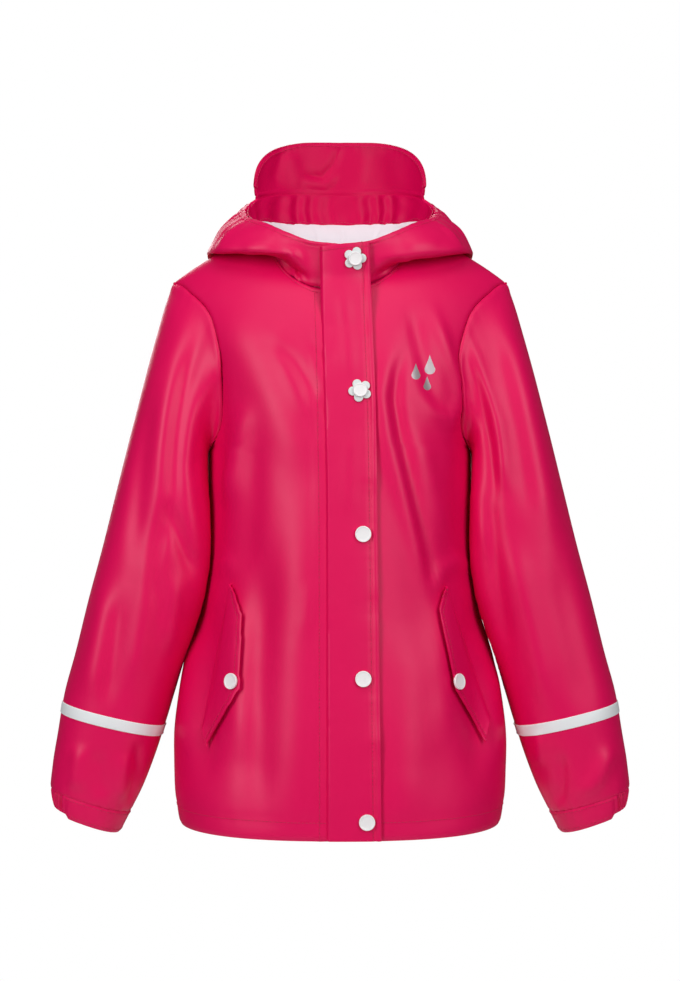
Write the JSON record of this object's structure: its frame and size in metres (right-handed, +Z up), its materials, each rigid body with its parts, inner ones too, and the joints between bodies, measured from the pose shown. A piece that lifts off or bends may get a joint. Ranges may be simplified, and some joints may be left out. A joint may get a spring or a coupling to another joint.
{
  "type": "child's hooded rain jacket",
  "caption": "Child's hooded rain jacket in pink coated cloth, closed in front by a studded storm flap, standing hollow with its hood down and its sleeves hanging.",
  "frame": {"origin": "middle of the neck opening, at the height where the shoulder seams meet the neck seam, where a wearer's neck or a hanger holds the jacket up", "axes": "+Z up, -Y the way the jacket faces, +X towards the wearer's left"},
  "size_m": [0.545, 0.2724, 0.6683],
  "materials": {
    "coated_cloth": "coated cloth with a soft satin sheen",
    "elasticated_cloth": "coated cloth gathered on elastic, soft satin sheen",
    "knitted_lining": "matt brushed knit",
    "reflective_tape": "fine-textured satin reflective tape",
    "stud_white": "soft gloss",
    "flower_grey": "soft gloss"
  },
  "bodies": {
    "root": {"front_right": "coated_cloth", "front_left": "coated_cloth", "back": "coated_cloth", "sleeve_right": "coated_cloth", "sleeve_left": "coated_cloth", "hood_right": "coated_cloth", "hood_left": "coated_cloth", "hood_peak": "coated_cloth", "storm_flap": "coated_cloth", "pocket_flap_right": "coated_cloth", "pocket_flap_left": "coated_cloth", "cuff_right": "elasticated_cloth", "cuff_left": "elasticated_cloth", "hood_band": "elasticated_cloth", "hood_lining": "knitted_lining", "reflective_tape_right": "reflective_tape", "reflective_tape_left": "reflective_tape", "stud_1": "stud_white", "stud_2": "stud_white", "stud_3": "stud_white", "stud_4": "stud_white", "stud_5": "stud_white", "pocket_stud_right": "stud_white", "pocket_stud_left": "stud_white", "stud_1_flower": "flower_grey", "stud_2_flower": "flower_grey"}
  },
  "joints": []
}
